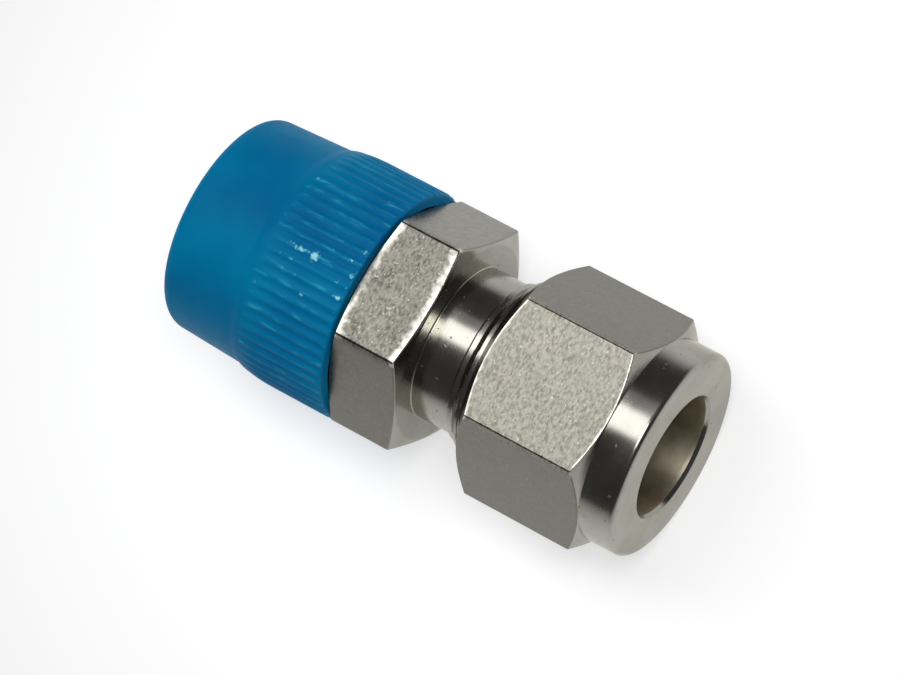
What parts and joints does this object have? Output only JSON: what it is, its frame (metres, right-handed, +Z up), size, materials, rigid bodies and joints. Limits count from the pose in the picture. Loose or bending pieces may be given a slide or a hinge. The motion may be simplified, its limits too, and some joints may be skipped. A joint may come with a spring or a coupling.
{
  "type": "male tube connector",
  "caption": "Straight compression connector for tube, with a male taper pipe thread, hex body, hex nut, ferrules and a ribbed thread protector cap.",
  "frame": {"origin": "centre of the tube stop inside the body, where the inserted tube's end rests", "axes": "+X along the tube axis, out of the nut's mouth; +Z up, square to the nut's upper flat as the fitting lies"},
  "size_m": [0.0535, 0.0256, 0.0254],
  "materials": {
    "stainless_steel": "satin",
    "blue_polyethylene": "satin"
  },
  "bodies": {
    "connector": {"connector_body": "stainless_steel"},
    "ferrule_set": {"front_ferrule": "stainless_steel", "back_ferrule": "stainless_steel"},
    "nut_body": {"nut": "stainless_steel"},
    "protector": {"thread_protector_cap": "blue_polyethylene"}
  },
  "joints": [
    {"name": "nut_travel", "type": "slide", "parent": "connector", "child": "ferrule_set", "axis": [1, 0, 0], "range_m": [0, 0.00889]},
    {"name": "nut_turn", "type": "hinge", "parent": "ferrule_set", "child": "nut_body", "pos_m": [0.0119, 0, 0], "axis": [1, 0, 0], "range_deg": [0, 2520]},
    {"name": "cap_pull", "type": "slide", "parent": "connector", "child": "protector", "axis": [-1, 0, 0], "range_m": [0, 0.025]}
  ],
  "couplings": [
    {"joint": "nut_travel", "follows": "nut_turn", "m_per_rad": 0.00020213}
  ]
}
